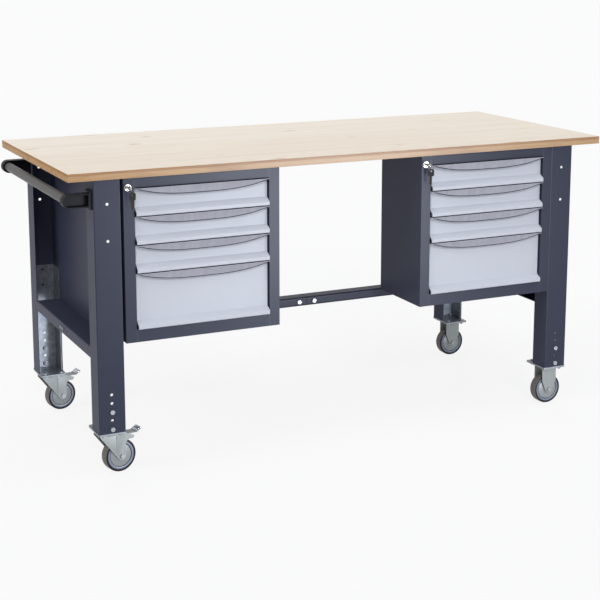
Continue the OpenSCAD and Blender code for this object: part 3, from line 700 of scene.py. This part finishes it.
@dataclass
class Worktop:
    """The plywood top, whose faces are veneer where they look up or down by more than the limit."""

    edge_round: float = 1.0 * MM
    face_limit: float = 0.5

    def build(self) -> None:
        """Makes the board with its faces in veneer and its sides in plies."""
        work = bmesh.new()
        add_box(work, *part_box("worktop"))
        soften(work, self.edge_round)
        work.normal_update()
        for face in work.faces:
            face.material_index = int(abs(face.normal.z) <= self.face_limit)
        Piece("worktop_board", BODY_FRAME, (Finish.BIRCH_VENEER, Finish.PLY_EDGE), ("worktop",)).finish(work)


def swivels(corner: str) -> bool:
    """Whether the caster at a corner is one of the swivel casters."""
    return corner.endswith("l")


def plate_node(corner: str) -> str:
    """The node that holds the plate of the caster at a corner."""
    return f"swivel_plate_{corner}" if swivels(corner) else f"fixed_fork_{corner}"


@dataclass
class SteelFrame:
    """The legs, rails, panels and beam, and their fasteners.

    The plug and the screw head are drawn as a radius and a rise in millimetres.
    """

    bolt_round: float = 0.6 * MM
    bolt_half_pattern: Pair = (27 * MM, 40 * MM)
    nut_dome_r: float = 4.6 * MM
    nut_dome_h: float = 3.2 * MM
    low_dome_h: float = 1.0 * MM
    dome_segments: tuple[int, int] = (24, 12)
    plug: Profile = ((0.0, -2.4), (4.3, -2.4), (4.3, -0.3), (3.9, 0.1), (0.0, 0.1))
    plug_drops: Pair = (71 * MM, 178 * MM)
    screw: Profile = ((0.0, -0.3), (2.6, -0.3), (2.6, 0.6), (1.9, 1.3), (0.0, 1.5))
    screw_inset: float = 40 * MM
    screw_drop: float = 34 * MM

    def build(self) -> None:
        """Dresses the frame's nodes and makes its fasteners."""
        for corner in CORNERS:
            dress(Finish.ANTHRACITE, f"leg_outer_{corner}")
            dress(Finish.GALVANISED, f"leg_inner_{corner}")
        dress(Finish.ANTHRACITE, "side_rail_left", "side_rail_right", "side_panel_left",
              "side_panel_right", "beam_left", "beam_right", "beam_splice")
        softened_copy("frame_bolts", BODY_FRAME, (Finish.FASTENER,), self.bolt_round)
        self._caster_bolts()
        self._plugs()
        self._flange_screw()

    def _caster_bolts(self) -> None:
        """Makes the bolts of the caster plates with domes under their nuts."""
        work = node_bmesh("caster_bolts")
        soften(work, self.bolt_round)
        low_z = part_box("caster_bolts")[0].z
        across, along = self.bolt_half_pattern
        u_segments, v_segments = self.dome_segments
        for corner in CORNERS:
            middle = middle_of(plate_node(corner))
            depth = self.low_dome_h if swivels(corner) else self.nut_dome_h
            size = Vector((self.nut_dome_r, self.nut_dome_r, depth))
            for x in (middle.x - across, middle.x + across):
                for y in (middle.y - along, middle.y + along):
                    made = bmesh.ops.create_uvsphere(
                        work, u_segments=u_segments, v_segments=v_segments, radius=1.0)["verts"]
                    bmesh.ops.scale(work, vec=size, verts=made)
                    bmesh.ops.translate(work, vec=Vector((x, y, low_z)), verts=made)
        Piece("caster_bolts_look", BODY_FRAME, (Finish.FASTENER,), ("caster_bolts",)).finish(work)

    def _plugs(self) -> None:
        """Closes the upper holes of the front legs' webs with pale plugs."""
        for corner in FRONT_CORNERS:
            low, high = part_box(f"leg_outer_{corner}")
            for number, drop in enumerate(self.plug_drops, start=1):
                centre = Vector(((low.x + high.x) / 2, low.y, high.z - drop))
                Piece(f"leg_plug_{corner}_{number}", BODY_FRAME, (Finish.PLUG,)).finish(
                    spun_bmesh(self.plug, centre, -AXIS_Y, PLUG_STEPS))

    def _flange_screw(self) -> None:
        """Puts the small screw head on the front left leg's outer flange."""
        low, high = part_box("leg_outer_fl")
        centre = Vector((low.x, low.y + self.screw_inset, high.z - self.screw_drop))
        Piece("flange_screw_head", BODY_FRAME, (Finish.FASTENER,)).finish(
            spun_bmesh(self.screw, centre, -AXIS_X, SCREW_STEPS))


@dataclass
class Cabinet:
    """One hanging cabinet with its drawers, lock and keys.

    Slopes are the upward part of a face's normal, and the lock's ring is drawn as a radius and a rise in
    millimetres.
    """

    side: str
    letter: str
    body_round: float = 0.7 * MM
    front_round: float = 0.5 * MM
    small_round: float = 0.3 * MM
    hem: float = 3 * MM
    hem_slope: float = 0.5
    grip_slopes: Pair = (-0.4, -0.15)
    lip: float = 11 * MM
    flare: float = 11 * MM
    recess: float = 20 * MM
    strip_w: float = 6.0 * MM
    strip_t: float = 1.1 * MM
    strip_sink: float = 0.1 * MM
    strip_over_bend: float = 0.6 * MM
    strip_over_lip: float = 1.2 * MM
    strip_under: float = 0.5 * MM
    grip_in: float = 6 * MM
    grip_drop: float = 1 * MM
    grip_sag: float = 23 * MM
    grip_power: int = 3
    grip_tilt: float = math.radians(14)
    bead_r: float = 2.5 * MM
    bead_drop: float = 1.2 * MM
    bead_steps: int = 48
    bead_sides: int = 8
    front_gap: float = 3 * MM
    seam_w: float = 0.5 * MM
    seam_plane: float = 2 * MM
    seam_rise: float = 0.05 * MM
    seam_sink: float = 0.5 * MM
    seam_from_front: float = 2 * MM
    seam_from_end: float = 1 * MM
    lock_ring: Profile = ((6.4, -2.0), (6.4, 0.3), (6.8, 0.6), (10.0, 0.6), (10.9, -0.2), (10.9, -2.0))
    blade_l: float = 25.8 * MM
    key_ring_r: float = 9 * MM
    wire_r: float = 0.8 * MM
    wire_reach: float = 1.5

    def build(self) -> None:
        """Makes the housing, the fronts and the lock, and dresses the trays."""
        softened_copy(f"cabinet_{self.side}", BODY_FRAME, (Finish.ANTHRACITE,), self.body_round)
        for index in DRAWERS:
            name = f"{self.letter}{index}"
            dress(Finish.LIGHT_GREY, f"drawer_tray_{name}")
            self._front(name)
            self._bead(name)
        self._seams()
        self._lock()
        self._spare_key()

    def _front(self, name: str) -> None:
        """Makes a drawer front and its end strips.

        Args:
            name: The drawer's letter and number.
        """
        node, body = f"drawer_front_{name}", f"drawer_{name}"
        low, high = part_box(node)
        top_edge = high.z - self.hem
        grip_low, grip_high = self.grip_slopes

        def pick(middle: Vector, normal: Vector) -> int:
            """Numbers the top edge 2, which is painted dark as the shadow of the gap above the front, the
            grip and the hem 1 and the rest 0.
            """
            above = middle.z > top_edge
            return 2 if above and normal.z > self.hem_slope else int(above or grip_low < normal.z < grip_high)

        softened_copy(node, body, (Finish.LIGHT_GREY, Finish.GRIP, Finish.GRIP_BEAD), self.front_round, pick)
        panel = low.y + self.recess
        lip = low.z + self.lip
        bend = lip + self.flare
        section = [(panel + self.strip_sink, top_edge), (panel - self.strip_t, top_edge),
                   (panel - self.strip_t, bend + self.strip_over_bend), (low.y, lip + self.strip_over_lip),
                   (low.y, lip - self.strip_under), (panel + self.strip_sink, bend - self.strip_under)]
        for end, start in (("left", low.x), ("right", high.x - self.strip_w)):
            work = prism_bmesh(section, start, start + self.strip_w)
            soften(work, self.small_round)
            Piece(f"front_strip_{name}_{end}", body, (Finish.LIGHT_GREY,)).finish(work)

    def _bead(self, name: str) -> None:
        """Lays the dark bead along the lower edge of a grip: a trim whose dark colour also paints the shadow
        line under the flap's edge.

        Args:
            name: The drawer's letter and number.
        """
        low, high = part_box(f"drawer_front_{name}")
        half = (high.x - low.x) / 2 - self.grip_in
        down = Vector((0.0, math.sin(self.grip_tilt), -math.cos(self.grip_tilt)))
        back = Vector((0.0, math.cos(self.grip_tilt), math.sin(self.grip_tilt)))
        top = Vector(((low.x + high.x) / 2, low.y, high.z - self.grip_drop))
        top += back * self.bead_r + down * self.bead_drop
        path = []
        for k in range(self.bead_steps + 1):
            share = 2 * k / self.bead_steps - 1
            sag = self.grip_sag * (1 - abs(share) ** self.grip_power)
            path.append(top + AXIS_X * (share * half) + down * sag)
        Piece(f"grip_bead_{name}", f"drawer_{name}", (Finish.GRIP_BEAD,)).finish(
            bead_bmesh(path, back, self.bead_r, self.bead_sides))

    def _seams(self) -> None:
        """Draws the fold seams between the front frame's stiles and its rails."""
        housing_low, housing_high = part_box(f"cabinet_{self.side}")
        first_low, first_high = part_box(f"drawer_front_{self.letter}{DRAWERS[0]}")
        last_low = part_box(f"drawer_front_{self.letter}{DRAWERS[-1]}")[0]
        plane = housing_low.y + self.seam_plane
        ends = ((first_high.z + self.seam_from_front, housing_high.z - self.seam_from_end),
                (housing_low.z + self.seam_from_end, last_low.z - self.seam_from_front))
        work = bmesh.new()
        for x in (first_low.x - self.front_gap, first_high.x + self.front_gap):
            for low_z, high_z in ends:
                add_box(work, Vector((x - self.seam_w / 2, plane - self.seam_rise, low_z)),
                        Vector((x + self.seam_w / 2, plane + self.seam_sink, high_z)))
        Piece(f"frame_seams_{self.side}", BODY_FRAME, (Finish.SEAM,)).finish(work)

    def _lock(self) -> None:
        """Makes the lock's plug with its key, and the ring round it."""
        node = f"lock_key_{self.side}"
        softened_copy(node, f"lock_{self.side}", (Finish.NICKEL,), self.small_round)
        centre = middle_of(node)
        centre.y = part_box(f"cabinet_{self.side}")[0].y
        Piece(f"lock_ring_{self.side}", BODY_FRAME, (Finish.NICKEL,)).finish(
            spun_bmesh(self.lock_ring, centre, -AXIS_Y, RING_STEPS))

    def _spare_key(self) -> None:
        """Makes the spare key on its ring."""
        node = f"spare_key_{self.side}"
        low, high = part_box(node)
        hoop = middle_of(node)
        hoop.z = high.z - self.key_ring_r - self.wire_r
        reach = self.wire_reach * self.wire_r

        def pick(middle: Vector, normal: Vector) -> int:
            """Numbers the ring and the blade 0 and the bow 1."""
            away = middle - hoop
            on_ring = abs(math.hypot(away.x, away.z) - self.key_ring_r) < reach and abs(away.y) < reach
            return int(not on_ring and middle.z >= low.z + self.blade_l)

        softened_copy(node, f"keys_{self.side}", (Finish.KEY_BLADE, Finish.KEY_BOW), self.small_round, pick)


@dataclass
class PushHandle:
    """The push handle's arms and tube."""

    arm_round: float = 1.3 * MM
    arm_segments: int = 3

    def build(self) -> None:
        """Makes the arms and dresses the tube."""
        for end in ("front", "rear"):
            softened_copy(f"handle_arm_{end}", BODY_FRAME, (Finish.HANDLE_ARM,), self.arm_round,
                          segments=self.arm_segments)
        dress(Finish.TUBE, "handle_tube")


@dataclass
class Caster:
    """One caster with its wheel.

    The wheel's profiles and limits are in millimetres: the core and the tyre's shoulder as a radius and an
    offset along the axle, from the inside out. The tread pad and its ribs lie between two heights over the
    pedal's tread.
    """

    corner: str
    sheet_round: float = 0.5 * MM
    pedal_round: float = 0.2 * MM
    plate_t: float = 3 * MM
    race_gap: float = 0.5 * MM
    cheek_reach: float = 23.55 * MM
    bolt_r: float = 9 * MM
    tread_toe: Pair = (87 * MM, 112 * MM)
    tread_tilt: float = math.radians(33)
    pad_span: Pair = (2.5 * MM, 18.5 * MM)
    pad_half_w: float = 15 * MM
    pad_heights: Pair = (1.4 * MM, 2.1 * MM)
    pad_round: float = 0.25 * MM
    ribs: int = 4
    rib_half: float = 0.7 * MM
    rib_inset: float = 2 * MM
    rib_heights: Pair = (2.0 * MM, 2.6 * MM)
    core: Profile = ((4.05, 20.5), (11.0, 20.5), (11.0, 13.0), (34.4, 13.0), (34.4, 10.5), (35.9, 10.5),
                     (35.9, 14.6), (43.0, 14.6))
    core_round: float = 0.45 * MM
    groove_side: float = 13.0
    groove_radii: Pair = (20.0, 37.0)
    rim_r: float = 35.0
    tyre_foot: Profile = ((43.0, 15.4), (43.6, 16.0))
    shoulder_middle: Pair = (45.0, 11.0)
    shoulder_half: Pair = (4.9, 5.0)
    shoulder_steps: int = 6
    tread_edge: Pair = (50.0, 4.0)
    tread_slope: float = 0.62

    def __post_init__(self) -> None:
        """Takes the axle, the swivel's pivot and the wheel's own directions from the model's nodes."""
        self.axle = middle_of(f"wheel_core_{self.corner}")
        self.pivot = middle_of(plate_node(self.corner))
        self.pivot.z = 0.0
        ahead = Vector((self.axle.x, self.axle.y, 0.0)) - self.pivot
        self.along = ahead.normalized() if swivels(self.corner) else AXIS_X
        self.across = AXIS_Z.cross(self.along)

    def build(self) -> None:
        """Makes the fork, the wheel and the brake."""
        zinc = (Finish.ZINC, Finish.FASTENER)
        if swivels(self.corner):
            # The faces below the plate, the race ring, take the dark finish that paints the shade in the gap
            # between the plate and the fork's crown.
            race_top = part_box(plate_node(self.corner))[1].z - self.plate_t - self.race_gap
            softened_copy(plate_node(self.corner), BODY_FRAME, (Finish.ZINC, Finish.RACE), self.sheet_round,
                          lambda middle, normal: int(middle.z < race_top))
            softened_copy(f"swivel_fork_{self.corner}", f"swivel_{self.corner}", zinc, self.sheet_round,
                          self._fork_face)
            softened_copy(f"brake_pedal_{self.corner}", f"pedal_{self.corner}", zinc, self.pedal_round,
                          clamp=False)
            self._tread_pad()
        else:
            softened_copy(plate_node(self.corner), BODY_FRAME, zinc, self.sheet_round, self._fork_face)
        self._core()
        self._tyre()

    def _fork_face(self, middle: Vector, normal: Vector) -> int:
        """Picks the fastener finish for the axle bolt's head and nut, and zinc for the sheet.

        Args:
            middle: The face's middle.
            normal: The way it looks; not used.

        Returns:
            The number of its finish.
        """
        away = middle - self.axle
        side = away.dot(self.across)
        near = (away - self.across * side).length
        return int(abs(side) > self.cheek_reach and near < self.bolt_r)

    def _tread_pad(self) -> None:
        """Lays the bright pad with its ribs on the brake pedal's tread."""
        toe_x, toe_z = self.tread_toe
        flat, rise = math.cos(self.tread_tilt), math.sin(self.tread_tilt)
        forward = self.along * flat + AXIS_Z * rise
        outward = AXIS_Z * flat - self.along * rise
        place = Matrix((forward, self.across, outward)).transposed().to_4x4()
        place.translation = self.pivot + self.along * toe_x + AXIS_Z * toe_z
        start, end = self.pad_span
        strips = [(start, end, self.pad_half_w, self.pad_heights)]
        for number in range(self.ribs):
            middle = start + (end - start) * (number + 0.5) / self.ribs
            strips.append((middle - self.rib_half, middle + self.rib_half,
                           self.pad_half_w - self.rib_inset, self.rib_heights))
        work = bmesh.new()
        for first, last, half, (bottom, top) in strips:
            add_box(work, Vector((first, -half, bottom)), Vector((last, half, top)), place)
        soften(work, self.pad_round)
        Piece(f"tread_pad_{self.corner}", f"pedal_{self.corner}", (Finish.TREAD_PAD,)).finish(work)

    def _core(self) -> None:
        """Makes the wheel's core: the hub, the thread guard, the groove and the rim."""
        low_r, high_r = self.groove_radii

        def pick(radius: float, side: float, slope: float) -> int:
            """Numbers the groove 2, painted dark as the shadow in it, the rim 1 and the disc 0."""
            in_groove = side < self.groove_side and low_r < radius < high_r
            return 2 if in_groove else int(radius > self.rim_r)

        work = spun_bmesh(both_sides(self.core), self.axle, self.across, WHEEL_STEPS)
        soften(work, self.core_round)
        self._split(work, pick)
        Piece(f"wheel_core_{self.corner}_look", f"wheel_{self.corner}",
              (Finish.WHEEL_DISC, Finish.WHEEL_RIM, Finish.WHEEL_GROOVE),
              (f"wheel_core_{self.corner}",)).finish(work)

    def _tyre(self) -> None:
        """Makes the tyre with its rounded shoulders."""
        (middle_r, middle_side), (half_r, half_side) = self.shoulder_middle, self.shoulder_half
        turns = [math.pi / 2 * k / self.shoulder_steps for k in range(self.shoulder_steps + 1)]
        shoulder = [(middle_r + half_r * math.sin(turn), middle_side + half_side * math.cos(turn))
                    for turn in turns]
        profile = both_sides([*self.tyre_foot, *shoulder, self.tread_edge])
        work = spun_bmesh(profile, self.axle, self.across, WHEEL_STEPS)
        self._split(work, lambda radius, side, slope: int(slope < self.tread_slope))
        Piece(f"tyre_{self.corner}_look", f"wheel_{self.corner}", (Finish.TREAD, Finish.SIDEWALL),
              (f"tyre_{self.corner}",)).finish(work)

    def _split(self, work: BMesh, pick: RingPick) -> None:
        """Numbers the faces of a spun piece.

        Args:
            work: The bmesh.
            pick: Gives the number for a radius and a distance from the wheel's middle plane, in
                millimetres, and for how far the face looks outwards.
        """
        work.normal_update()
        for face in work.faces:
            away = face.calc_center_median() - self.axle
            side = away.dot(self.across)
            radial = away - self.across * side
            slope = face.normal.dot(radial.normalized())
            face.material_index = pick(radial.length / MM, abs(side) / MM, slope)


def aim(thing: Object, towards: Vector, axis: str) -> None:
    """Turns a camera or a lamp so that one of its axes has a direction.

    Args:
        thing: The object.
        towards: The direction.
        axis: The axis, such as -Z for the way a camera looks.
    """
    thing.rotation_mode = "QUATERNION"
    thing.rotation_quaternion = towards.to_track_quat(axis, "Y")


@dataclass(frozen=True)
class Lamp:
    """One soft lamp that lights the whole scene evenly, with its angles in degrees.

    The azimuth goes from the front towards the right, and the spread is the angle that the lamp fills,
    which softens its shadow.
    """

    name: str
    strength: float
    azimuth: float
    elevation: float
    spread: float
    reflected: bool = True

    def build(self) -> None:
        """Makes the lamp."""
        data = bpy.data.lights.new(f"studio_{self.name}", "SUN")
        data.energy = self.strength
        data.angle = math.radians(self.spread)
        azimuth, elevation = math.radians(self.azimuth), math.radians(self.elevation)
        flat = math.cos(elevation)
        lamp = link_object(f"studio_{self.name}", data)
        aim(lamp, Vector((math.sin(azimuth) * flat, -math.cos(azimuth) * flat, math.sin(elevation))), "Z")
        lamp.visible_glossy = self.reflected


@dataclass
class Studio:
    """The floor, the lights, the world and the camera."""

    camera_place: Triple = (-1.9749, -4.1705, 1.5598)
    camera_yaw: float = math.radians(25.21)
    camera_pitch: float = math.radians(10.875)
    camera_reach: Pair = (0.05, 200.0)
    focal_pixels: float = 1431.0
    image_pixels: float = 600.0
    sensor: float = 36.0
    shift_y: float = -0.15
    floor_half: float = 60.0
    floor_colour: Colour = (0.93, 0.93, 0.93)
    floor_glow: float = 0.84
    world_level: float = 0.44
    world_colour: LinearColour = (0.93, 0.96, 1.0, 1.0)
    seen_colour: LinearColour = (1.0, 1.0, 1.0, 1.0)
    lamps: tuple[Lamp, ...] = (
        Lamp("key", 0.34, -10.0, 78.0, 50.0), Lamp("low", 0.10, 12.0, 12.0, 30.0),
        Lamp("left_low", 0.82, -13.0, 30.0, 16.0), Lamp("side", 0.65, -80.0, 36.0, 20.0),
        Lamp("fill", 0.50, 78.0, 15.0, 50.0, reflected=False),
        Lamp("back", 1.05, 168.0, 14.0, 40.0, reflected=False))
    panel_place: Triple = (0.75, -2.3, 0.4)
    panel_aim: Triple = (0.0, -0.35, 0.6)
    panel_size: Pair = (1.0, 0.7)
    panel_colour: Colour = (0.84, 0.90, 1.0)
    panel_power: float = 190.0

    def build(self) -> None:
        """Makes the whole studio."""
        self._camera()
        self._floor()
        self._world()
        for lamp in self.lamps:
            lamp.build()
        self._panel()
        bpy.context.scene.view_settings.view_transform = "Standard"

    def _camera(self) -> None:
        """Makes the camera at the photograph's angle."""
        data = bpy.data.cameras.new("studio_camera")
        data.sensor_width = self.sensor
        data.lens = self.focal_pixels * self.sensor / self.image_pixels
        data.shift_y = self.shift_y
        data.clip_start, data.clip_end = self.camera_reach
        camera = link_object("studio_camera", data)
        camera.location = self.camera_place
        flat = math.cos(self.camera_pitch)
        aim(camera, Vector((math.sin(self.camera_yaw) * flat, math.cos(self.camera_yaw) * flat,
                             -math.sin(self.camera_pitch))), "-Z")
        bpy.context.scene.camera = camera

    def _floor(self) -> None:
        """Makes the pale floor, which glows for the camera but keeps the shadow."""
        mesh = bpy.data.meshes.new("studio_floor")
        work = bmesh.new()
        bmesh.ops.create_grid(work, x_segments=1, y_segments=1, size=self.floor_half)
        work.to_mesh(mesh)
        work.free()
        floor = link_object("studio_floor", mesh)
        material = bpy.data.materials.new("studio_floor")
        material.use_nodes = True
        graph = Graph(material.node_tree)
        graph.tree.nodes.remove(graph.tree.nodes["Principled BSDF"])
        matt = graph.add("ShaderNodeBsdfDiffuse", {"Color": linear(self.floor_colour)})
        glow = graph.add("ShaderNodeEmission")
        share = graph.math("MULTIPLY", graph.looked_at(), self.floor_glow)
        mix = graph.add("ShaderNodeMixShader", {"Fac": share, 1: matt.outputs[0], 2: glow.outputs[0]})
        graph.feed(graph.tree.nodes["Material Output"].inputs["Surface"], mix.outputs[0])
        mesh.materials.append(material)

    def _world(self) -> None:
        """Makes the world, white to the camera and in reflections and softer as a light."""
        world = bpy.data.worlds.new("studio_world")
        world.use_nodes = True
        bpy.context.scene.world = world
        graph = Graph(world.node_tree)
        plain = graph.tree.nodes["Background"]
        graph.feed(plain.inputs["Color"], self.world_colour)
        graph.feed(plain.inputs["Strength"], self.world_level)
        white = graph.add("ShaderNodeBackground", {"Color": self.seen_colour})
        mix = graph.add("ShaderNodeMixShader",
                        {"Fac": graph.looked_at(), 1: plain.outputs[0], 2: white.outputs[0]})
        graph.feed(graph.tree.nodes["World Output"].inputs["Surface"], mix.outputs[0])

    def _panel(self) -> None:
        """Makes the lit panel whose reflection brightens the middle of the front."""
        data = bpy.data.lights.new("studio_panel", "AREA")
        data.shape = "RECTANGLE"
        data.size, data.size_y = self.panel_size
        data.energy = self.panel_power
        data.color = self.panel_colour
        panel = link_object("studio_panel", data)
        panel.location = self.panel_place
        aim(panel, Vector(self.panel_place) - Vector(self.panel_aim), "Z")
        panel.visible_camera = False
        panel.visible_diffuse = False


def main() -> None:
    """Builds the studio and each sub-assembly in order."""
    logging.basicConfig(level=logging.INFO, format="%(name)s %(message)s")
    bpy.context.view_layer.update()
    Studio().build()
    Worktop().build()
    SteelFrame().build()
    dress(Finish.GALVANISED, "drawer_runners")
    Cabinet("left", "l").build()
    Cabinet("right", "r").build()
    PushHandle().build()
    for corner in CORNERS:
        Caster(corner).build()


if __name__ == "__main__":
    main()
